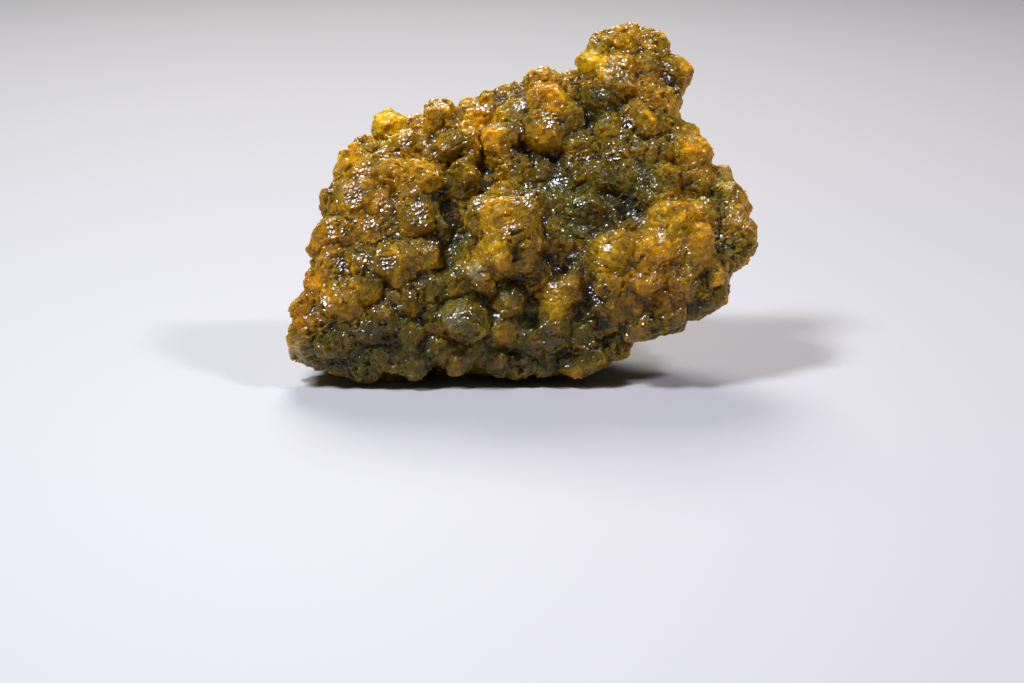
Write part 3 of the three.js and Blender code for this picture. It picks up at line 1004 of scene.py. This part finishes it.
# Places where crystal faces mirror the key light: across and up the face, and radius, in millimetres.
GLINTS = (
    (-25.3, 27.8, 1.6), (-16.1, 24.8, 1.5), (-24.5, 31.5, 1.0), (-21.4, 26.5, 1.0), (0.4, 27.8, 1.3),
    (8.4, 34.0, 1.1), (13.4, 34.0, 1.2), (13.8, 46.8, 1.5), (18.0, 50.2, 1.0), (2.3, 18.7, 1.2),
    (-10.3, 9.8, 1.2), (19.9, 17.9, 0.9), (28.7, 21.3, 1.0), (-27.9, 22.6, 1.3), (-23.7, 18.3, 1.0),
    (-20.3, 18.0, 1.1), (-8.4, 35.8, 0.9), (-1.9, 22.9, 1.2), (22.9, 23.2, 1.0), (16.8, 24.4, 0.9),
    (3.8, 38.9, 1.0), (26.0, 32.4, 1.0), (-3.8, 10.2, 0.8), (-18.4, 11.0, 1.0), (9.2, 13.3, 0.8),
    (-13.0, 30.5, 0.9), (11.5, 43.0, 0.8), (-29.5, 12.0, 0.9), (5.0, 30.0, 0.9), (32.4, 23.9, 1.1),
    (11.8, 20.3, 1.0), (20.1, 22.4, 1.1), (26.1, 27.2, 0.9), (23.1, 20.0, 0.8), (18.6, 14.7, 0.8),
    (13.6, 16.5, 0.8), (11.2, 12.6, 0.9), (17.7, 10.2, 0.8), (27.0, 12.6, 0.8), (-23.0, 24.0, 0.9),
    (-13.5, 21.0, 0.8), (-6.5, 41.0, 0.8), (21.5, 46.5, 1.0), (-18.0, 36.0, 0.8), (-27.0, 17.5, 0.9),
    (-2.5, 15.0, 0.8), (3.5, 8.5, 0.9), (-14.5, 7.0, 0.9), (-24.5, 8.5, 0.9), (8.0, 26.5, 0.9),
    (19.0, 34.5, 0.9), (-1.0, 41.5, 0.9), (4.0, 14.5, 0.7), (-7.0, 26.5, 0.8), (15.0, 38.5, 0.9),
)  # fmt: skip


@dataclass(frozen=True)
class LeaningFace:
    """The showy face as a frame of its own: across it, deep behind it, and up along it.

    The pull of a glint is gone at `glint_edge` radii from its middle, and full one radius nearer. Only skin
    whose normal shares at least `glint_least` with the mirroring direction is pulled.
    """

    lean: float = math.radians(12)
    shift_mm: tuple[float, float] = (0.24, -9.41)
    glint_edge: float = 1.5
    glint_least: float = 0.35

    def on_face(self, points: np.ndarray) -> tuple[np.ndarray, np.ndarray, np.ndarray]:
        """Work out where points of the part's frame lie in that of the face.

        Args:
            points: places in millimetres, in the part's frame.

        Returns:
            The place across the face, the depth behind it, and the place up along it.
        """
        across = points[:, 0] - self.shift_mm[0]
        back = points[:, 1] - self.shift_mm[1]
        sine, cosine = math.sin(self.lean), math.cos(self.lean)
        return across, back * cosine - points[:, 2] * sine, points[:, 2] * cosine + back * sine

    def off_face(self, points: np.ndarray) -> np.ndarray:
        """Carry points from the frame of the face to the part's frame.

        Args:
            points: rows of across, deep and up, in millimetres.

        Returns:
            Rows of x, y and z.
        """
        across, deep, up = points.T
        sine, cosine = math.sin(self.lean), math.cos(self.lean)
        back = self.shift_mm[1] + up * sine + deep * cosine
        return np.stack([across + self.shift_mm[0], back, up * cosine - deep * sine], -1)

    def glint_pull(self, points: np.ndarray, normals: np.ndarray) -> np.ndarray:
        """Work out how strongly each point is drawn to mirror the key light.

        Args:
            points: the skin's points, in millimetres.
            normals: the outward normals there.

        Returns:
            The pull, from 0 to 1, full in the middle of a glint's place.
        """
        across, _, up = self.on_face(points)
        pull = np.zeros(len(points))
        for x, height, radius in GLINTS:
            apart = np.hypot(across - x, up - height) / radius
            pull = np.maximum(pull, np.clip(self.glint_edge - apart, 0, 1))
        return pull * (normals @ np.array(MIRRORING) > self.glint_least)


@dataclass(frozen=True)
class Paint:
    """What the finish reads from the mesh, one number from 0 to 1 for each vertex.

    Relief runs from creases to crests. Painted top shade lies on what looks up more than its surroundings
    do, and painted glow is painted light where light would come out of a lump's lower flank or of a broad
    bulge.
    Glint is the pull of the glints' places, tone is a lump's own shade, and each shade follows its patches
    of the face.
    """

    # Relief: how far the skin stands out of its own average over a few, more and many edges.
    relief_rounds: tuple[int, int, int] = (12, 45, 150)
    relief_weights: tuple[float, float, float] = (0.6, 1.05, 0.3)
    relief_middle: float = 0.47

    # A lump's flank is its skin without the beads. Its tilt is how much more it looks up than around it.
    flank_rounds: int = 14
    around_rounds: int = 70
    # Painted shade on what looks up more than around it, and painted glow on lower flanks and broad bulges.
    painted_top_shade_level: float = 0.15
    painted_top_shade_by_tilt: float = 1.5
    painted_glow_level: float = 0.1
    painted_glow_by_tilt: float = -2.0
    bulge_level: float = -0.3
    painted_glow_by_bulge: float = 0.8

    # Tone: large and small crystals, each with its share of the shade, and blended over a few edges.
    tone_mm: tuple[float, float] = (3.2, 1.1)
    tone_shares: tuple[float, float] = (0.55, 0.45)
    tone_rounds: tuple[int, int] = (3, 1)
    tone_seed: int = 21

    # Patches fade out by a power of the distance, and weaken towards the back, where some of each stays.
    patch_power: float = 2.5
    front_level: float = 0.9
    front_fade: float = 1.5
    back_share: float = 0.55

    def write(self, mesh: bpy.types.Mesh, face: LeaningFace) -> None:
        """Work the numbers out and keep them as attributes of the mesh.

        Args:
            mesh: the finished crust's mesh.
            face: the frame that glints and patches are placed in.
        """
        points, normals, edges = points_of(mesh), normals_of(mesh), edges_of(mesh)
        fine, middle, broad = (
            ((points - smoothed(points, edges, rounds)) * normals).sum(1)
            for rounds in self.relief_rounds
        )
        by_fine, by_middle, by_broad = self.relief_weights
        relief = self.relief_middle + by_fine * fine + by_middle * middle + by_broad * broad
        flank = smoothed(normals, edges, self.flank_rounds)
        tilt = flank[:, 2] - smoothed(normals[:, 2], edges, self.around_rounds)
        from_tilt = self.painted_glow_level + self.painted_glow_by_tilt * tilt
        from_bulge = self.painted_glow_by_bulge * broad + self.bulge_level
        values = {
            "relief": np.clip(relief, 0, 1),
            "painted_top_shade": np.clip(self.painted_top_shade_level + self.painted_top_shade_by_tilt * tilt, 0, 1),
            "painted_glow": np.clip(np.maximum(from_tilt, from_bulge), 0, 1),
            "glint": face.glint_pull(points, flank),
            "tone": self.tone(points, normals, edges),
        }
        front = np.clip(self.front_level - flank[:, 1] * self.front_fade, self.back_share, 1)
        across, _, up = face.on_face(points)
        for shade, patches in PATCHES.items():
            total = np.zeros(len(points))
            for patch in patches:
                apart = np.hypot(across - patch.x, up - patch.up) / patch.spread
                total = np.maximum(total, patch.strength * np.exp(-(apart**self.patch_power)))
            values[shade.value] = total * front
        for name, value in values.items():
            kept = mesh.attributes.new(name, "FLOAT", "POINT")
            kept.data.foreach_set("value", value.astype(np.float32))

    def tone(self, points: np.ndarray, normals: np.ndarray, edges: np.ndarray) -> np.ndarray:
        """Add up the shades of the large and the small crystals that each point belongs to.

        Args:
            points: the skin's points, in millimetres.
            normals: the outward normals there.
            edges: two vertex numbers a row.

        Returns:
            The tone, from 0 to 1.
        """
        large, small = (
            share * smoothed(CrystalFaces(pitch, self.tone_seed).chances(points, normals), edges, rounds)
            for pitch, share, rounds in zip(self.tone_mm, self.tone_shares, self.tone_rounds)
        )
        return large + small


@dataclass
class Crust:
    """The whole specimen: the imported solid's skin, rounded, overgrown and dressed."""

    node: bpy.types.Object
    face: LeaningFace = LeaningFace()
    paint: Paint = Paint()
    finish: HoneyStellerite = HoneyStellerite()

    # The node's skin is rounded and drawn in, and the growth is joined to it and smoothed at finer steps.
    weld_m: float = 1e-6
    round_voxel_mm: float = 0.35
    fill_voxel_mm: float = 0.3
    fine_voxel_mm: float = 0.14
    inset_mm: float = 0.3
    fill_rounds: int = 8
    fill_times: int = 3

    # A landmark's middle lies this share of its half depth behind the foremost skin near its place.
    near_mm: float = 1.5
    set_in: float = 0.75

    # Beads and crystal faces fade out towards the foot, which stays flat, and are weaker on the back.
    foot_mm: float = 0.3
    foot_fade_mm: float = 1.5
    plainer_back: float = 0.5
    back_from_side: float = 1.5
    blocks: Blocks = Blocks()
    broad_faces: CrystalFaces = CrystalFaces(
        pitch_mm=2.2, seed=11, lean=0.5, reach_mm=0.45, least_pull=0.8
    )
    beads: Beads = Beads(pitch_mm=1.0, rise_mm=0.28, seed=31)
    small_faces: CrystalFaces = CrystalFaces(
        pitch_mm=0.6, seed=12, lean=0.3, reach_mm=0.16, least_pull=0.08, loose_pull=0.45
    )

    # What looks backwards or down is thinned first, to about so many triangles. The rest is thinned evenly.
    behind_by_up: float = 0.3
    behind_least: float = 0.35
    behind_triangles: int = 30_000
    triangles: int = 194_000

    # The finished skin stays just inside the node's box.
    clearance_mm: float = 0.001

    def build(self) -> bpy.types.Object:
        """Grow, plane, thin, fit and dress the specimen.

        Returns:
            The dressed piece, at the origin.
        """
        crust = self.grown(self.rounded_skin())
        self.fill(crust)
        finish_shape(crust, "REMESH", mode="VOXEL", voxel_size=self.fine_voxel_mm * MM)
        crust = without_pockets(crust)
        finish_shape(crust, "SMOOTH", factor=0.5, iterations=3)
        self.work_skin(crust)
        self.thin(crust)
        self.fit(crust.data)
        crust.name = "stellerite_crust"
        crust.data.shade_flat()
        self.paint.write(crust.data, self.face)
        crust.data.materials.clear()
        crust.data.materials.append(self.finish.material())
        return crust

    def rounded_skin(self) -> bpy.types.Object:
        """Copy the node, merge it, round its facets off and draw it in to leave room for the growth.

        Returns:
            The rounded skin, as a piece of its own.
        """
        piece = bpy.data.objects.new("stellerite_crust", self.node.data.copy())
        bpy.context.scene.collection.objects.link(piece)
        finish_shape(piece, "WELD", merge_threshold=self.weld_m)
        finish_shape(piece, "REMESH", mode="VOXEL", voxel_size=self.round_voxel_mm * MM)
        finish_shape(piece, "SMOOTH", factor=0.5, iterations=2)
        set_points(piece.data, points_of(piece.data) - normals_of(piece.data) * self.inset_mm)
        return piece

    def grown(self, skin: bpy.types.Object) -> bpy.types.Object:
        """Join the skin, the landmarks and the blocks into one closed piece.

        Args:
            skin: the rounded skin; it is removed.

        Returns:
            The joined piece.
        """
        points, triangles = points_of(skin.data), triangles_of(skin.data)
        shells = (
            (points, triangles),
            self.landmarks(points),
            self.blocks.build(points, triangles),
        )
        starts = np.cumsum([0] + [len(shell[0]) for shell in shells])
        LOG.info("skin, landmarks and blocks end at points %s", starts[1:])
        piece = new_piece(
            "stellerite_crust_grown",
            np.concatenate([shell[0] for shell in shells]),
            np.concatenate([shell[1] + start for shell, start in zip(shells, starts)]),
        )
        bpy.data.objects.remove(skin)
        finish_shape(piece, "REMESH", mode="VOXEL", voxel_size=self.fill_voxel_mm * MM)
        return piece

    def landmarks(self, points: np.ndarray) -> tuple[np.ndarray, np.ndarray]:
        """Make the landmarks, each where the skin's face lies at its place.

        Args:
            points: the skin's points, in millimetres.

        Returns:
            The points of all the landmarks in the part's frame, and their triangles.
        """
        across, deep, up = self.face.on_face(points)
        blocks, triangles, start = [], [], 0
        for mark in LANDMARKS:
            near = np.hypot(across - mark.x, up - mark.up) < self.near_mm
            depth = deep[near].min() + mark.half[2] * self.set_in
            block = self.face.off_face(mark.build(depth))
            blocks.append(block)
            triangles.append(ball_faces(mark.around, mark.tilts) + start)
            start += len(block)
        return np.concatenate(blocks), np.concatenate(triangles)

    def fill(self, piece: bpy.types.Object) -> None:
        """Let mineral fill the clefts between the lumps.

        Only what lies under the averaged skin is lifted to it.

        Args:
            piece: the joined lumps, which are changed.
        """
        mesh = piece.data
        edges = edges_of(mesh)
        for _ in range(self.fill_times):
            points, normals = points_of(mesh), normals_of(mesh)
            averaged = smoothed(points, edges, self.fill_rounds)
            lift = ((averaged - points) * normals).sum(1).clip(0)
            set_points(mesh, points + normals * lift[:, None])

    def work_skin(self, piece: bpy.types.Object) -> None:
        """Plane broad faces, swell beads and plane small faces on the skin, and smooth it lightly.

        Each point also keeps the chance of its small face, as the attribute "grain".

        Args:
            piece: the crust, which is changed.
        """
        mesh = piece.data
        skin = points_of(mesh)
        LOG.info("fine skin: %d points", len(skin))
        above = np.clip((skin[:, 2:] - self.foot_mm) / self.foot_fade_mm, 0, 1)
        for work in (self.broad_faces.plane, self.beads.swell, self.small_faces.plane):
            normals = normals_of(mesh)
            behind = np.clip(normals[:, 1:2] * self.back_from_side, 0, 1)
            moved = work(skin, normals, self.face.glint_pull(skin, normals))
            skin += (moved - skin) * above * (1 - self.plainer_back * behind)
            set_points(mesh, skin)
        finish_shape(piece, "SMOOTH", factor=0.25, iterations=1)
        chances = self.small_faces.chances(skin, normals).astype(np.float32)
        grain = piece.data.attributes.new("grain", "FLOAT", "POINT")
        grain.data.foreach_set("value", chances)

    def thin(self, piece: bpy.types.Object) -> None:
        """Collapse edges until the piece has its number of triangles, most of them kept in front.

        The first go works on what looks backwards or down alone, and the second on everything.

        Args:
            piece: the grown crust, which is changed.
        """
        normals = normals_of(piece.data)
        facing = normals[:, 1] - self.behind_by_up * normals[:, 2]
        backwards = np.flatnonzero(facing > self.behind_least)
        piece.vertex_groups.new(name="behind").add(backwards.tolist(), 1.0, "REPLACE")
        count = len(triangles_of(piece.data))
        finish_shape(
            piece,
            "DECIMATE",
            ratio=1 - len(backwards) / len(normals) + self.behind_triangles / count,
            use_collapse_triangulate=True,
            vertex_group="behind",
            vertex_group_factor=1.0,
        )
        piece.vertex_groups.clear()
        ratio = self.triangles / len(triangles_of(piece.data))
        finish_shape(piece, "DECIMATE", ratio=ratio, use_collapse_triangulate=True)

    def fit(self, mesh: bpy.types.Mesh) -> None:
        """Stretch the crust to just inside the node's box, and keep its foot on the ground.

        Args:
            mesh: the crust's mesh, which is changed.
        """
        low, high = (np.array(corner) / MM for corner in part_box(self.node.name))
        low[:2] += self.clearance_mm
        high -= self.clearance_mm
        skin = points_of(mesh)
        least, most = skin.min(0), skin.max(0)
        stretch = (high - low) / (most - least)
        skin[:, :2] = low[:2] + (skin[:, :2] - least[:2]) * stretch[:2]
        skin[:, 2] = np.clip(skin[:, 2] * high[2] / most[2], 0, high[2])
        set_points(mesh, skin)
        LOG.info("finished skin: %d triangles", len(mesh.polygons))


# ---------------------------------------------------------------- the studio


@dataclass(frozen=True)
class Softbox:
    """A square studio light that looks at the specimen, placed and sized in metres."""

    name: str
    place: tuple[float, float, float]
    side: float
    watts: float
    colour: str = "#FFFFFF"

    def build(self, target: Vector) -> None:
        """Hang the light so that it looks at the target.

        Args:
            target: the point that it looks at, in metres.
        """
        lamp = bpy.data.lights.new(self.name, "AREA")
        lamp.size = self.side
        lamp.energy = self.watts
        lamp.color = linear(self.colour)[:3]
        light = bpy.data.objects.new(self.name, lamp)
        light.location = self.place
        light.rotation_euler = (target - Vector(self.place)).to_track_quat("-Z", "Y").to_euler()
        bpy.context.scene.collection.objects.link(light)


@dataclass(frozen=True)
class Studio:
    """A pale floor that sweeps up behind, softboxes and the camera.

    The camera looks down by its pitch, at a point given in metres from the middle of the specimen's foot.
    """

    focal_mm: float = 105.5
    distance: float = 0.45
    pitch: float = math.radians(15)
    aim: tuple[float, float, float] = (-0.0017, -0.0081, 0.0061)
    clip_m: tuple[float, float] = (0.01, 20)
    boxes: tuple[Softbox, ...] = (
        Softbox("key", (-0.20, -0.14, 0.43), 0.088, 3.0, "#E2EAFF"),
        Softbox("right", (0.26, -0.12, 0.34), 0.055, 1.1, "#ECE6FF"),
        Softbox("back", (-0.05, 0.34, 0.36), 0.20, 1.8),
    )
    lit_point: tuple[float, float, float] = (0, 0, 0.02)
    room_colour: str = "#E6E8EC"
    room_strength: float = 0.06

    # The paper runs level from the front, bends up in a quarter circle and ends high above.
    paper_colour: str = "#B2AFAB"
    paper_roughness: float = 0.6
    paper_half_width_mm: float = 2000.0
    paper_front_mm: float = -1500.0
    bend_from_mm: float = 600.0
    bend_radius_mm: float = 500.0
    bend_steps: int = 24
    paper_top_mm: float = 1800.0

    def build(self) -> None:
        """Set up floor, lights and camera."""
        camera = bpy.data.cameras.new("camera")
        camera.lens = self.focal_mm
        camera.clip_start, camera.clip_end = self.clip_m
        eye = bpy.data.objects.new("camera", camera)
        forward = Vector((0, math.cos(self.pitch), -math.sin(self.pitch)))
        eye.location = Vector(self.aim) - forward * self.distance
        eye.rotation_euler = (math.pi / 2 - self.pitch, 0, 0)
        bpy.context.scene.collection.objects.link(eye)
        bpy.context.scene.camera = eye
        for box in self.boxes:
            box.build(Vector(self.lit_point))
        world = bpy.data.worlds.new("studio")
        world.use_nodes = True
        room = world.node_tree.nodes["Background"]
        room.inputs["Color"].default_value = linear(self.room_colour)
        room.inputs["Strength"].default_value = self.room_strength
        bpy.context.scene.world = world
        bpy.context.scene.view_settings.view_transform = "Standard"
        self.floor()

    def floor(self) -> bpy.types.Object:
        """Make the floor: a level profile that turns up in a quarter circle, carried sideways.

        Returns:
            The floor's piece.
        """
        bend = np.linspace(0, np.pi / 2, self.bend_steps)
        radius, start = self.bend_radius_mm, self.bend_from_mm
        depth = np.concatenate(
            [[self.paper_front_mm], start + radius * np.sin(bend), [start + radius]]
        )
        height = np.concatenate([[0.0], radius * (1 - np.cos(bend)), [self.paper_top_mm]])
        side = np.array([-self.paper_half_width_mm, self.paper_half_width_mm])
        x, y = np.meshgrid(side, depth)
        z = np.repeat(height[:, None], 2, 1)
        points = np.stack([x, y, z], -1).reshape(-1, 3)
        row = np.arange(len(depth) - 1)[:, None] * 2
        sweep = new_piece("floor", points, row + np.array([0, 1, 3, 2]))
        sweep.data.shade_smooth()
        # Matt coated paper: it takes soft shadows and shows no reflection of the specimen.
        material = bpy.data.materials.new("matt_paper_sweep")
        material.use_nodes = True
        shader = material.node_tree.nodes["Principled BSDF"]
        shader.inputs["Base Color"].default_value = linear(self.paper_colour)
        shader.inputs["Roughness"].default_value = self.paper_roughness
        sweep.data.materials.append(material)
        return sweep


def main() -> None:
    """Build the studio and the specimen in order, and report each piece."""
    logging.basicConfig(level=logging.INFO, format="%(message)s")
    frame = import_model()
    Studio().build()
    node = frame["nodes"]["stellerite"]
    crust = Crust(node).build()
    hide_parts("stellerite")
    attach(crust, "root")
    LOG.info("%s: %d faces", crust.name, len(crust.data.polygons))


if __name__ == "__main__":
    main()
